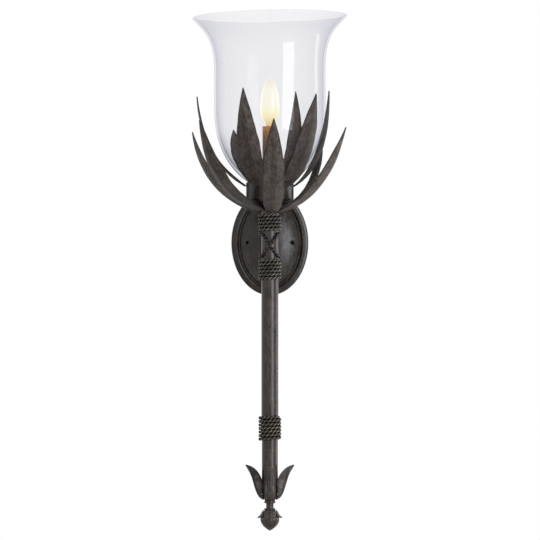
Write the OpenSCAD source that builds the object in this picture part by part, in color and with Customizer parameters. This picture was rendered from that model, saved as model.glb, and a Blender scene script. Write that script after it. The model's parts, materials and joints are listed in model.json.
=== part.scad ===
// Wall torch sconce: forged leaf crown, lifting glass shade, candle lamp and leaf finial.
// Millimetres, +Z up. The origin is the centre of the backplate's back face, on the wall plane
// y = 0, and the front of the sconce faces -Y. The torch axis stands parallel to the wall.

/* [Torch stem] */
// Distance from the wall to the torch axis
standoff = 140; // [136:1:175]
// Outer diameter of the main stem tube
stem_d = 25.4; // [22:0.1:30]
// Wall of the main stem tube
stem_wall = 1.6; // [1.2:0.1:2.5]
// Bare stem between the upper wrap and the stem's top
stem_neck = 3; // [2.9:0.1:14]
// Depth of the stem's bottom end below the backplate centre
stem_bottom = 290; // [240:1:360]
// Diameter of the thinner tail rod
tail_d = 24.1; // [20:0.1:25]
// Length of the tail below the stem
tail_len = 97.3; // [80:0.1:120]

/* [Backplate] */
// Width of the oval backplate
plate_w = 119; // [110:1:150]
// Height of the oval backplate
plate_h = 162; // [145:1:200]
// Height of the dome's middle above the wall
plate_rise = 12.8; // [12:0.2:18]
// Metal left between the dome and the hollow behind it
plate_wall = 3; // [2:0.2:3.4]
// Distance between the two wall screw holes
screw_spacing = 70; // [60:1:76]
// Diameter of a wall screw hole
screw_hole_d = 5; // [4:0.1:6]

/* [Arm] */
// Outer diameter of the arm tube hidden behind the stem
arm_d = 19; // [16:0.1:19.2]
// Wall of the arm tube
arm_wall = 1.65; // [1.2:0.05:2.4]
// Outer diameter of the threaded arm nipple
arm_nipple_d = 12.7; // [11:0.1:13]

/* [Wire wraps] */
// Diameter of the wrapping wire rope
rope_d = 4.4; // [3:0.1:5]
// Gap between two turns of the rope
rope_gap = 0.9; // [0.5:0.1:2]
// Turns of the upper wrap, as seen from the front
upper_turns = 5; // [3:1:7]
// Turns of the middle wrap
middle_turns = 6; // [3:1:8]
// Turns of the lower wrap
lower_turns = 7; // [4:1:9]
// Space between the two upper wraps, where the lashing crosses
lashing_gap = 42.2; // [38:0.1:48]

/* [Cup and candle] */
// Outer radius of the cup that holds the glass
cup_r = 35.7; // [33:0.1:42]
// Height of the cup above the stem's top
cup_h = 43.5; // [38:0.5:52]
// Wall of the cup
cup_wall = 2.5; // [1.6:0.1:3]
// Outer diameter of the candle sleeve
sleeve_d = 22.2; // [20:0.1:24]
// Length of the candle sleeve
sleeve_len = 109; // [90:1:115]
// Widest diameter of the bulb
bulb_d = 29; // [24:0.5:35]

/* [Glass shade] */
// Radius of the glass body
glass_r = 83.8; // [80:0.2:86]
// Radius at the flared rim
glass_rim_r = 116.6; // [100:0.2:118]
// Height of the glass above the cup
glass_h = 247.1; // [220:0.1:300]
// Wall of the blown glass
glass_wall = 3; // [2:0.1:4]
// Wall of the thick foot of the glass, in the cup
glass_foot_wall = 5.5; // [3:0.1:7]

/* [Leaves] */
// Thickness of a leaf at its middle
leaf_t = 2; // [1.2:0.1:2.4]
// Width of a lower leaf
lower_leaf_w = 34; // [26:1:38]
// Width of an upper leaf
upper_leaf_w = 36; // [26:1:40]

/* [Finial] */
// Width of a finial leaf
finial_leaf_w = 16; // [12:0.5:21]
// Radius of the finial bud
bud_r = 14.2; // [11:0.2:16]
// Length of the finial bud
bud_len = 30.5; // [24:0.5:36]

/* [Hidden] */
$fn = 64;

// Clearance of plugs, washers and nuts on what they fit
fit_gap = 0.05;
// Gap between pieces that only lie against each other
seat_gap = 0.25;
// Diameter of the hole that passes the lamp wires through the stem's back
wire_hole_d = 9;
thread_d = 9.7;
thread_bore = 6.4;
stem_bore = stem_d - 2 * stem_wall;
rope_pitch = rope_d + rope_gap;
// Clearance of the lashing over the arm, and between the lashing and the wraps
arm_room = 0.9;
lash_gap = 0.6;
// Each wrap starts at the left and ends at the right front, after its last turn has passed the front
wrap_start = -90;
wrap_end = 45;
lash_high = arm_d / 2 + arm_room + rope_d / 2;
// Heights at which the turns of the upper wrap pass the front
upper_low_z = lash_high + rope_d + lash_gap - rope_pitch * wrap_start / 360;
upper_high_z = upper_low_z + (upper_turns - 1) * rope_pitch;
stem_top = upper_high_z + rope_pitch * wrap_end / 360 + rope_d / 2 + stem_neck;
arm_bore = arm_d - 2 * arm_wall;
cup_top = stem_top + cup_h;
glass_top = cup_top + glass_h;
cup_floor = stem_top + 18;
// Height of the washer and the nut that clamp the cup
washer_t = 1.5;
nut_t = 4;
sleeve_wall = 0.8;
sleeve_base = cup_floor + 0.3;
sleeve_top = sleeve_base + sleeve_len;
sleeve_bore = sleeve_d - 2 * sleeve_wall;

// Iron and glass colours
iron = [0.27, 0.25, 0.24];
iron_dark = [0.2, 0.19, 0.19];
iron_light = [0.36, 0.33, 0.32];
brass = [0.78, 0.62, 0.3];
steel = [0.6, 0.6, 0.62];

// ---- curves and swept shapes ----

function bezier(p, t) = pow(1 - t, 3) * p[0] + 3 * pow(1 - t, 2) * t * p[1]
    + 3 * (1 - t) * t * t * p[2] + pow(t, 3) * p[3];
function bezier_dir(p, t) = let(v = pow(1 - t, 2) * (p[1] - p[0]) + 2 * (1 - t) * t * (p[2] - p[1])
    + t * t * (p[3] - p[2])) v / norm(v);
function unit(v) = v / norm(v);
function smooth(t) = let(u = min(1, max(0, t))) u * u * (3 - 2 * u);
function reversed(list) = [for (i = [len(list) - 1:-1:0]) list[i]];
function polar(r, az, z) = [r * sin(az), -r * cos(az), z];

// Points on a curve of [r, z], and on its inner offset, which grows by `extra` towards the curve's start
function curve_points(path, from, to, steps) = [for (i = [0:steps])
    bezier(path, from + (to - from) * i / steps)];
function curve_inner(path, wall, from, to, steps, extra = 0) = [for (i = [0:steps])
    let(t = from + (to - from) * i / steps, d = bezier_dir(path, t))
        bezier(path, t) + (wall + extra * pow(1 - t, 2)) * [-d[1], d[0]]];

// Tube through a list of points, with each ring turned towards the matching side vector
module sweep(points, sides_v, r, sides) {
    n = len(points);
    rings = [for (i = [0:n - 1])
        let(t = unit(points[min(n - 1, i + 1)] - points[max(0, i - 1)]),
            u = unit(sides_v[i] - (sides_v[i] * t) * t),
            v = cross(t, u))
        for (k = [0:sides - 1]) points[i] + r * (cos(360 * k / sides) * u + sin(360 * k / sides) * v)];
    walls = [for (i = [0:n - 2], k = [0:sides - 1])
        let(a = i * sides + k, b = i * sides + (k + 1) % sides)
            each [[a, a + sides, b + sides], [a, b + sides, b]]];
    caps = [for (k = [1:sides - 2])
        each [[0, k, k + 1], [(n - 1) * sides, (n - 1) * sides + k + 1, (n - 1) * sides + k]]];
    polyhedron(rings, concat(walls, caps));
}

// Least distance between two stretches of a wound route that are over a third of a turn apart
function self_gap(points, d, apart) = min([
    for (i = [0:len(points) - 1 - apart], j = [i + apart:len(points) - 1]) norm(points[i] - points[j])]) - d;

// ---- winding routes round the torch axis, as [azimuth, radius, height] ----

wrap_r = stem_d / 2 + rope_d / 2 + seat_gap;
middle_high_z = upper_low_z - rope_d - lashing_gap;
// The lower wrap hides the joint of stem and tail
lower_wrap_rise = 27.5;
lower_high_z = lower_wrap_rise - stem_bottom;
lash_low = middle_high_z + rope_pitch * wrap_end / 360 + rope_d + lash_gap;
ring_steps = 24;

function wound(route) = [for (p = route) polar(p[1], p[0], p[2])];
function outward(route) = [for (p = route) polar(1, p[0], 0)];
// A straight run of one rope diameter leaves the winding along its tangent at each end
function straight_end(route, from, sign) = let(p = polar(route[from][1], route[from][0], route[from][2]))
    p + sign * rope_d * [cos(route[from][0]), sin(route[from][0]), 0];
function with_ends(route) = concat([straight_end(route, 0, -1)], wound(route),
    [straight_end(route, len(route) - 1, 1)]);
function with_end_sides(route) = let(o = outward(route)) concat([o[0]], o, [o[len(o) - 1]]);

function wrap_route(low_z, turns) = [for (i = [0:ring_steps * ((turns - 1) + (wrap_end - wrap_start) / 360)])
    let(az = wrap_start + 360 * i / ring_steps) [az, wrap_r, low_z + rope_pitch * az / 360]];
upper_route = wrap_route(upper_low_z, upper_turns);
middle_route = wrap_route(middle_high_z - (middle_turns - 1) * rope_pitch, middle_turns);
lower_route = wrap_route(lower_high_z - (lower_turns - 1) * rope_pitch, lower_turns);

// Two loops that cross in front of the stem: over the arm, down to the right, under the arm, up to the right
cross_half = 70;
bump_half = 48;
function lash_z(az) = az < 180
    ? lash_high + (lash_low - lash_high) * smooth((az + cross_half) / (2 * cross_half))
    : lash_low + (lash_high - lash_low) * smooth((az - 360 + cross_half) / (2 * cross_half));
function lash_r(az) = wrap_r + (rope_d + 0.9) * smooth(1.45 * (1 - abs(az - 360) / bump_half));
lash_start = -150;
lash_route = [for (i = [0:2 * ring_steps - 4]) let(az = lash_start + 360 * i / ring_steps)
    [az, lash_r(az), lash_z(az)]];

echo("least gap of the upper wrap to itself", self_gap(wound(upper_route), rope_d, 8));
echo("least gap of the middle wrap to itself", self_gap(wound(middle_route), rope_d, 8));
echo("least gap of the lower wrap to itself", self_gap(wound(lower_route), rope_d, 8));
echo("least gap of the lashing to itself", self_gap(wound(lash_route), rope_d, 8));

module at_torch() { translate([0, -standoff, 0]) children(); }

module winding(route) {
    at_torch() sweep(with_ends(route), with_end_sides(route), rope_d / 2, 6);
}

module wrap_upper() { color(iron) winding(upper_route); }
module wrap_middle() { color(iron) winding(middle_route); }
module wrap_lower() { color(iron) winding(lower_route); }
module cross_lashing() { color(iron) winding(lash_route); }

// ---- backplate and arm ----

pad_r = 11;
plate_a = plate_w / 2;
plate_b = plate_h / 2;
field_inset = 18;
screw_boss_d = 9.5;
countersink_d = 8.2;
cavity_z = plate_rise - plate_wall;
// Each outer ring of the stepped rim: [inset from the edge, height above the wall]
rim_steps = [[0, 0], [0, 3.5], [1.2, 5], [3.5, 6.2], [6, 7.2], [8, 8.2], [9.2, 8], [11, 6.4], [12.4, 5.6],
    [14.5, 6.3]];
hollow_steps = [[16, plate_wall], [7.5, plate_wall - 0.2], [5, 0]];
// Rings of the domed field, as [share of the field's half axes, share of the dome's height]
field_low = 7.6;
function dome_h(k, low, high) = low + (high - low) * (1 - k * k);
function oval(a, b, h) = [for (i = [0:63]) [a * cos(360 * i / 64), -h, b * sin(360 * i / 64)]];
function inset_oval(s) = oval(plate_a - s[0], plate_b - s[0], s[1]);
function field_oval(k, low, high) = let(a = plate_a - field_inset, b = plate_b - field_inset)
    oval(pad_r + (a - pad_r) * k, pad_r + (b - pad_r) * k, dome_h(k, low, high));

module oval_shell() {
    rings = concat(
        [for (k = [0, 0.25, 0.5, 0.75, 1]) field_oval(k, field_low, plate_rise)],
        [for (s = reversed(rim_steps)) inset_oval(s)],
        [for (s = reversed(hollow_steps)) inset_oval(s)],
        [for (k = [0.9, 0.6, 0.3, 0]) field_oval(k, plate_wall, cavity_z)]);
    points = concat([[0, -plate_rise, 0]], [for (r = rings) each r], [[0, -cavity_z, 0]]);
    last = len(points) - 1;
    count = len(rings);
    caps = [for (i = [0:63]) each [[0, 1 + (i + 1) % 64, 1 + i],
        [last, 1 + (count - 1) * 64 + i, 1 + (count - 1) * 64 + (i + 1) % 64]]];
    bands = [for (j = [0:count - 2], i = [0:63])
        let(a = 1 + j * 64 + i, b = 1 + j * 64 + (i + 1) % 64) each [[a, b, b + 64], [a, b + 64, a + 64]]];
    polyhedron(points, concat(caps, bands));
}

module backplate() {
    color(iron)
        difference() {
            union() {
                oval_shell();
                for (side = [-1, 1])
                    translate([side * screw_spacing / 2, 0, 0])
                        rotate([90, 0, 0]) cylinder(d = screw_boss_d, h = cavity_z - 1.5);
            }
            rotate([90, 0, 0]) translate([0, 0, -1])
                cylinder(d = arm_nipple_d + 2 * fit_gap, h = plate_rise + 2);
            for (side = [-1, 1])
                translate([side * screw_spacing / 2, 0, 0]) rotate([90, 0, 0]) {
                    translate([0, 0, -1]) cylinder(d = screw_hole_d, h = plate_rise + 2);
                    translate([0, 0, plate_rise - 4.4])
                        cylinder(d1 = screw_hole_d, d2 = countersink_d + 3, h = 4.5);
                }
        }
}

arm_back = plate_rise + fit_gap;
arm_nipple_len = 22;
module arm_tube() {
    color(iron)
        difference() {
            translate([0, -arm_back, 0]) rotate([90, 0, 0]) cylinder(d = arm_d, h = standoff - arm_back);
            translate([0, -arm_back + 1, 0]) rotate([90, 0, 0]) cylinder(d = arm_bore, h = standoff);
            translate([0, -standoff, -arm_d]) cylinder(d = stem_d + 2 * fit_gap, h = 2 * arm_d);
        }
}

bushing_len = 12;
module arm_bushing() {
    color(steel)
        translate([0, -arm_back, 0]) rotate([90, 0, 0])
            difference() {
                cylinder(d = arm_bore - 2 * fit_gap, h = bushing_len);
                translate([0, 0, -1]) cylinder(d = arm_nipple_d + 2 * fit_gap, h = bushing_len + 2);
            }
}

module arm_nipple() {
    color(steel)
        translate([0, -2, 0]) rotate([90, 0, 0])
            difference() {
                cylinder(d = arm_nipple_d, h = arm_nipple_len);
                translate([0, 0, -1]) cylinder(d = arm_nipple_d - 3.2, h = arm_nipple_len + 2);
            }
}

arm_washer_d = 20;
module arm_washer() {
    color(steel)
        translate([0, -cavity_z + fit_gap, 0]) rotate([-90, 0, 0])
            difference() {
                cylinder(d = arm_washer_d, h = washer_t);
                translate([0, 0, -1]) cylinder(d = arm_nipple_d + 2 * fit_gap, h = washer_t + 2);
            }
}

module arm_lock_nut() {
    color(brass)
        translate([0, -cavity_z + washer_t + 2 * fit_gap, 0]) rotate([-90, 0, 0])
            difference() {
                cylinder(d = 20, h = nut_t, $fn = 6);
                translate([0, 0, -1]) cylinder(d = arm_nipple_d + 2 * fit_gap, h = nut_t + 2);
            }
}

ground_z = -34;
module ground_screw() {
    color([0.2, 0.45, 0.25])
        translate([0, -dome_h(0.65, plate_wall, cavity_z) + 1.2, ground_z]) rotate([-90, 0, 0])
            difference() {
                union() {
                    cylinder(d = 8, h = 2.2);
                    translate([0, 0, -2.2]) cylinder(d = 3.5, h = 3);
                }
                translate([-0.6, -5, 1.3]) cube([1.2, 10, 2]);
            }
}

// ---- stem ----

spigot_len = 20;
module stem_tube() {
    color(iron)
        at_torch() difference() {
            translate([0, 0, -stem_bottom]) cylinder(d = stem_d, h = stem_bottom + stem_top);
            translate([0, 0, -stem_bottom - 1]) cylinder(d = stem_bore, h = stem_bottom + stem_top + 2);
            rotate([-90, 0, 0]) cylinder(d = wire_hole_d, h = stem_d);
        }
}

plug_h = 10;
module stem_plug() {
    color(steel)
        at_torch() translate([0, 0, stem_top - plug_h])
            difference() {
                cylinder(d = stem_bore - 2 * fit_gap, h = plug_h - fit_gap);
                translate([0, 0, -1]) cylinder(d = thread_d + 2 * fit_gap, h = plug_h + 2);
            }
}

tail_end = -stem_bottom - tail_len;
stud_d = 6;
stud_deep = 18;
tail_end_d = 15;
module stem_tail() {
    color(iron)
        at_torch() difference() {
            union() {
                translate([0, 0, -stem_bottom - 1]) cylinder(d = stem_bore - 2 * fit_gap, h = spigot_len + 1);
                translate([0, 0, tail_end + 12]) cylinder(d = tail_d, h = tail_len - 12 - fit_gap);
                translate([0, 0, tail_end + 5]) cylinder(d1 = tail_d - 1.6, d2 = tail_d, h = 7);
                translate([0, 0, tail_end]) cylinder(d1 = tail_end_d, d2 = tail_d - 1.6, h = 5);
            }
            translate([0, 0, tail_end - 1]) cylinder(d = stud_d + 2 * fit_gap, h = stud_deep + 1);
        }
}

// ---- cup and what clamps it ----

cup_under = [[stem_d / 2 + 0.5, stem_top], [stem_d / 2 + 0.5, stem_top + 13], [cup_r - 8, stem_top + 10],
    [cup_r, stem_top + 18]];
module cup() {
    outline = concat([[thread_d / 2 + fit_gap, stem_top + 0.05]], curve_points(cup_under, 0, 1, 10),
        [[cup_r, cup_top - 1.2], [cup_r - 0.6, cup_top], [cup_r - cup_wall + 0.6, cup_top],
        [cup_r - cup_wall, cup_top - 0.6], [cup_r - cup_wall, cup_floor],
        [thread_d / 2 + fit_gap, cup_floor]]);
    color(iron_dark) at_torch() rotate_extrude($fn = 96) polygon(outline);
}

cup_washer_d = 18;
module cup_washer() {
    color(steel)
        at_torch() translate([0, 0, cup_floor + fit_gap])
            difference() {
                cylinder(d = cup_washer_d, h = washer_t);
                translate([0, 0, -1]) cylinder(d = thread_d + 2 * fit_gap, h = washer_t + 2);
            }
}

module cup_lock_nut() {
    color(brass)
        at_torch() translate([0, 0, cup_floor + washer_t + 2 * fit_gap])
            difference() {
                cylinder(d = 16, h = nut_t, $fn = 6);
                translate([0, 0, -1]) cylinder(d = thread_d + 2 * fit_gap, h = nut_t + 2);
            }
}

// Top of the pipe that carries the socket
pipe_top = sleeve_top - 68;
module pipe_nipple() {
    color(steel)
        at_torch() translate([0, 0, stem_top - plug_h - 2])
            difference() {
                cylinder(d = thread_d, h = pipe_top - stem_top + plug_h + 2);
                translate([0, 0, -1]) cylinder(d = thread_bore, h = pipe_top - stem_top + plug_h + 4);
            }
}

// ---- glass shade ----

glass_neck_r = 25;
glass_seat_r = cup_r - cup_wall - 0.6;
body_low = cup_top + 104;
body_high = glass_top - 83;
glass_neck = [[glass_neck_r, cup_floor + fit_gap], [glass_neck_r, cup_floor + 10],
    [glass_neck_r + 1, cup_top - 5], [glass_seat_r, cup_top]];
glass_bowl = [[glass_seat_r, cup_top], [glass_seat_r + 21, cup_top + 13.5], [glass_r - 2, cup_top + 44],
    [glass_r, body_low]];
glass_flare = [[glass_r, body_high], [glass_r, body_high + 53], [glass_r + 13, glass_top - 20.5],
    [glass_rim_r, glass_top]];
module glass_shade() {
    outer = concat(curve_points(glass_neck, 0, 0.9, 4), curve_points(glass_bowl, 0.06, 1, 12),
        curve_points(glass_flare, 0, 1, 10));
    inner = concat(curve_inner(glass_neck, glass_foot_wall, 0, 0.85, 4),
        curve_inner(glass_bowl, glass_wall, 0.12, 1, 12, glass_foot_wall - glass_wall),
        curve_inner(glass_flare, glass_wall, 0, 1, 10));
    color([0.93, 0.95, 0.97, 0.5])
        at_torch() rotate_extrude($fn = 128) polygon(concat(outer, reversed(inner)));
}

// ---- candle sleeve, socket and bulb ----

module candle_sleeve() {
    color([0.5, 0.36, 0.24])
        at_torch() translate([0, 0, sleeve_base])
            difference() {
                cylinder(d = sleeve_d, h = sleeve_len);
                translate([0, 0, -1]) cylinder(d = sleeve_bore, h = sleeve_len + 2);
            }
}

bracket_w = 8;
bracket_t = 1.2;
socket_base = pipe_top + 14;
socket_h = 48;
module socket_bracket() {
    leg_x = sleeve_bore / 2 - 2.6;
    color(steel)
        at_torch() rotate([0, 0, 90]) difference() {
            union() {
                translate([0, 0, pipe_top - 5]) cylinder(r = leg_x + bracket_t, h = 3.5);
                translate([-leg_x, -bracket_w / 2, pipe_top - 5])
                    cube([bracket_t, bracket_w, socket_base - pipe_top + 5 - fit_gap]);
                translate([-leg_x, -bracket_w / 2, socket_base - bracket_t - fit_gap])
                    cube([leg_x + 3.5, bracket_w, bracket_t]);
            }
            translate([0, 0, pipe_top - 6]) cylinder(d = thread_d + 2 * fit_gap, h = 6);
            translate([0, 0, socket_base - 4]) cylinder(d = 3, h = 6);
        }
}

shell_d = 15;
wire_d = 2;
// Sideways place of the socket's two wire terminals
terminal_x = 5.5;
shell_floor = socket_base + 20;
module socket_body() {
    color([0.12, 0.11, 0.1])
        at_torch() difference() {
            translate([0, 0, socket_base]) cylinder(d = sleeve_bore - 0.8, h = socket_h);
            translate([0, 0, shell_floor]) cylinder(d = shell_d + 2 * fit_gap, h = socket_h);
            translate([0, 0, socket_base - 1]) cylinder(d = 3, h = 30);
            for (side = [-1, 1])
                translate([side * terminal_x, 0, socket_base - 1]) cylinder(d = wire_d + 0.6, h = 9);
        }
}

base_d = 11.9;
module socket_shell() {
    shell_h = socket_base + socket_h - shell_floor - 1;
    color(brass)
        at_torch() translate([0, 0, shell_floor + fit_gap])
            difference() {
                cylinder(d = shell_d, h = shell_h);
                translate([0, 0, 0.8]) cylinder(d = base_d + 0.5, h = shell_h);
                translate([0, 0, -1]) cylinder(d = 7, h = 3);
            }
}

module socket_contact() {
    color(brass)
        at_torch() translate([0, 0, shell_floor + fit_gap])
            difference() {
                cylinder(d = 6, h = 1.4);
                translate([0, 0, -1]) cylinder(d = 2.4, h = 4);
            }
}

module socket_rivet() {
    color(steel)
        at_torch() {
            translate([0, 0, socket_base - bracket_t - 1.1 - fit_gap]) cylinder(d = 4.6, h = 1.1 - fit_gap);
            translate([0, 0, socket_base - bracket_t - 1]) cylinder(d = 2.3, h = 23.2);
        }
}

bulb_base_z = shell_floor + 3;
bulb_neck_z = sleeve_top + 1;
bulb_top = sleeve_top + 72;
bulb_wall = 0.8;
bulb_low = [[base_d / 2, bulb_neck_z], [base_d / 2 + 1, bulb_neck_z + 9], [bulb_d / 2, bulb_neck_z + 11],
    [bulb_d / 2, bulb_neck_z + 25]];
bulb_high = [[bulb_d / 2, bulb_neck_z + 25], [bulb_d / 2, bulb_neck_z + 48], [6.5, bulb_top - 8],
    [1.2, bulb_top]];
module bulb_glass() {
    outer = concat(curve_points(bulb_low, 0, 1, 8), curve_points(bulb_high, 0.1, 1, 10));
    inner = concat(curve_inner(bulb_low, bulb_wall, 0, 1, 8), curve_inner(bulb_high, bulb_wall, 0.1, 0.9, 8));
    color([1, 0.96, 0.8, 0.6])
        at_torch() rotate_extrude()
            polygon(concat(outer, [[0, bulb_top], [0, bulb_top - 3]], reversed(inner)));
}

module bulb_base() {
    color(brass)
        at_torch() translate([0, 0, bulb_base_z])
            difference() {
                cylinder(d = base_d, h = bulb_neck_z - bulb_base_z - fit_gap);
                translate([0, 0, 1]) cylinder(d = base_d - 1, h = bulb_neck_z);
                translate([0, 0, -1]) cylinder(d = 7, h = 3);
            }
}

module bulb_contact() {
    color(steel)
        at_torch() {
            translate([0, 0, bulb_base_z - 1]) cylinder(d = 6.6, h = 2.6);
            translate([0, 0, bulb_base_z - 1.5]) cylinder(d = 4, h = 1);
        }
}

module bulb_filament() {
    color([1, 0.9, 0.6])
        at_torch() {
            translate([0, 0, bulb_base_z + 2]) cylinder(d = 5, h = bulb_neck_z - bulb_base_z + 8);
            for (side = [-1, 1])
                translate([side * 1.7, 0, bulb_neck_z + 9]) cylinder(d = 1.4, h = 28);
        }
}

// ---- lamp wires, held inside the socket, pipe, stem and arm ----

wire_x = 1.5;
// Heights of the route, from the socket's terminals down to the turn into the arm
wire_points = [[terminal_x, 0, socket_base + 6], [terminal_x, 0, socket_base], [5, 0, socket_base - 5],
    [3, 0, pipe_top + 4],
    [wire_x, 0, pipe_top - 2], [wire_x, 0, cup_floor], [wire_x, 0, stem_top - 15], [wire_x, 0, 20],
    [wire_x, 0.3, 12], [wire_x, 2.2, 6], [wire_x, 5.6, 2], [wire_x, 10, 0.3], [wire_x, 15, 0],
    [wire_x, standoff / 2, 0], [wire_x, standoff - arm_back - 8, 0], [wire_x, standoff - 3, 0]];
module lead(side) {
    points = [for (p = wire_points) [side * p[0], p[1], p[2]]];
    sides_v = [for (p = wire_points) let(bend = p[2] > 20 ? [0, 1, 0] : [0, 1, 1])
        [side, 0, 0] + 0.001 * bend];
    at_torch() sweep(points, sides_v, wire_d / 2, 8);
}
module lead_live() { color([0.1, 0.1, 0.1]) lead(-1); }
module lead_neutral() { color([0.9, 0.9, 0.88]) lead(1); }

// ---- forged leaves ----

// Width of a leaf along its length, as a share of its greatest width, which it reaches at t = rise
function leaf_width(t, root, rise) = (root + (1 - root) * sin(90 * min(1, t / rise)))
    * (t < 0.55 ? 1 : 1 - 0.97 * pow((t - 0.55) / 0.45, 2));

// Sheet leaf about the radial curve `path` of [r, z] points, set sideways by `shift`. Its edges
// curl inwards by a share of its half width that goes from cup_in[0] at the root to cup_in[1].
module leaf(azimuth, path, width, root, cup_in, shift, thick, rise = 0.3) {
    rows = 14;
    cells = 4;
    function at(t, s, side) = let(c = bezier(path, t), d = bezier_dir(path, t),
        w = width / 2 * leaf_width(t, root, rise),
        curl = cup_in[0] + (cup_in[1] - cup_in[0]) * smooth(t / 0.55),
        off = side * thick / 2 * (1 - 0.35 * s * s) - curl * s * s * w,
        r = c[0] + d[1] * off, z = c[1] - d[0] * off, across = s * w + shift)
        [r * sin(azimuth) + across * cos(azimuth), -r * cos(azimuth) + across * sin(azimuth), z];
    points = [for (side = [1, -1], i = [0:rows], j = [0:cells]) at(i / rows, 2 * j / cells - 1, side)];
    row = cells + 1;
    back = (rows + 1) * row;
    skin = [for (i = [0:rows - 1], j = [0:cells - 1]) let(a = i * row + j)
        each [[a, a + row, a + row + 1], [a, a + row + 1, a + 1],
            [back + a, back + a + row + 1, back + a + row], [back + a, back + a + 1, back + a + row + 1]]];
    edges = [for (i = [0:rows - 1]) let(a = i * row, b = a + cells)
        each [[a, back + a, back + a + row], [a, back + a + row, a + row],
            [b, b + row, back + b + row], [b, back + b + row, back + b]]];
    ends = [for (j = [0:cells - 1]) let(b = rows * row + j)
        each [[j, j + 1, back + j + 1], [j, back + j + 1, back + j],
            [b, back + b, back + b + 1], [b, back + b + 1, b + 1]]];
    at_torch() polyhedron(points, concat(skin, edges, ends));
}

// Leaves are placed by the offsets [outwards, up] of their two bends and of their tip from their root
function leaf_path(root, bends, spread = 1) = [root, for (b = bends) root + [b[0] * spread, b[1]]];
// The bends are drawn for this glass and this room between cup and glass, and spread with them
drawn_glass_r = 83.8;
drawn_room = 48.1;
lower_spread = glass_r / drawn_glass_r;
upper_spread = (glass_r - cup_r) / drawn_room;

lower_root = [stem_d / 2 + seat_gap, stem_top - 1.6];
// Every second lower leaf has its root above its neighbours'
raised = [0.8, leaf_t + 1.5];
// A lower leaf springs from the stem's top, under the cup
module lower_leaf(azimuth, bends, width = lower_leaf_w, lift = [0, 0], root = 0.35, shift = 0, rise = 0.3) {
    path = leaf_path(lower_root + lift, bends, lower_spread);
    color(iron_light) leaf(azimuth, path, width, root, [0.2, 0.2], shift, leaf_t, rise);
}

upper_root = [cup_r + seat_gap + leaf_t / 3, cup_top - 6];
// An upper leaf springs from the cup's wall and follows the glass
module upper_leaf(azimuth, bends, width = upper_leaf_w) {
    path = leaf_path(upper_root, bends, upper_spread);
    color(iron_light) leaf(azimuth, path, width, 0.5, [0.16, 0.16], 0, leaf_t);
}

module leaf_upper_front_left() { upper_leaf(-25, [[23, 19], [51, 58], [57, 143]]); }
module leaf_upper_front_right() { upper_leaf(44, [[23, 19], [47, 58], [62, 135]], upper_leaf_w + 2); }
module leaf_upper_right() { upper_leaf(104, [[29.5, 16.5], [54.5, 54], [55.2, 144.5]]); }
module leaf_upper_rear_right() { upper_leaf(153, [[29, 18], [61, 68], [50, 147]], upper_leaf_w - 11); }
module leaf_upper_rear_left() { upper_leaf(-140, [[22, 18], [47, 54], [49.5, 88]], upper_leaf_w - 6); }
module leaf_upper_left() { upper_leaf(-90, [[38, 23], [67, 58], [72.5, 134.5]]); }

module leaf_lower_front() {
    lower_leaf(0.9, [[60, 12], [112, 62], [127, 134.5]], lower_leaf_w - 1.5,
        root = 0.37, shift = 3.6, rise = 0.15);
}
module leaf_lower_front_right() { lower_leaf(66, [[47.5, 7.5], [87.5, 49], [110.5, 125.5]], lower_leaf_w); }
module leaf_lower_right() { lower_leaf(112, [[48, 9], [67, 46], [72, 103]], lower_leaf_w - 3, lift = raised); }
module leaf_lower_rear() { lower_leaf(180, [[42, 12], [82, 48], [86, 104]]); }
module leaf_lower_left() { lower_leaf(-112, [[55, 8], [101, 54], [113.5, 122.5]]); }
module leaf_lower_front_left() {
    lower_leaf(-50, [[64, 9], [104, 58], [121, 131]], lower_leaf_w - 3, lift = raised, shift = -0.6);
}

// ---- finial ----

collar_h = 3;
neck_h = 7.5;
neck_r = 5.6;
collar_r = 8.6;
collar_z = tail_end - 1.5 - collar_h;
neck_z = collar_z - neck_h;
bud_top = neck_z - collar_h - fit_gap;
module finial_leaf(azimuth) {
    base = [tail_end_d / 2 + 1.8, tail_end + 1];
    path = leaf_path(base, [[15.5, 8], [11, 35], [27, 52]]);
    color(iron_light) leaf(azimuth, path, finial_leaf_w, 0.62, [0.3, 1.5], 0, 1.6);
}
module finial_leaf_front() { finial_leaf(0); }
module finial_leaf_right() { finial_leaf(90); }
module finial_leaf_back() { finial_leaf(180); }
module finial_leaf_left() { finial_leaf(-90); }

module finial_stud() {
    color(steel)
        at_torch() translate([0, 0, bud_top - 8])
            cylinder(d = stud_d, h = tail_end + stud_deep - 2 - bud_top + 8);
}

module stud_clearance() { translate([0, 0, -60]) cylinder(d = stud_d + 2 * fit_gap, h = 120); }

module collar_ring() {
    rotate_extrude() translate([collar_r - collar_h / 2, collar_h / 2]) circle(d = collar_h, $fn = 32);
}

module finial_collar() {
    color(iron)
        at_torch() translate([0, 0, collar_z]) difference() {
            union() {
                collar_ring();
                cylinder(r = collar_r - collar_h / 2, h = collar_h);
                translate([0, 0, collar_h - 0.5]) cylinder(r = collar_r - 0.6, h = 2 - fit_gap);
            }
            stud_clearance();
        }
}

module finial_neck() {
    color(iron)
        at_torch() translate([0, 0, neck_z]) difference() {
            union() {
                cylinder(r = neck_r, h = neck_h - fit_gap);
                translate([0, 0, -collar_h]) {
                    collar_ring();
                    cylinder(r = collar_r - collar_h / 2, h = collar_h + 0.1);
                }
            }
            stud_clearance();
        }
}

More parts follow.
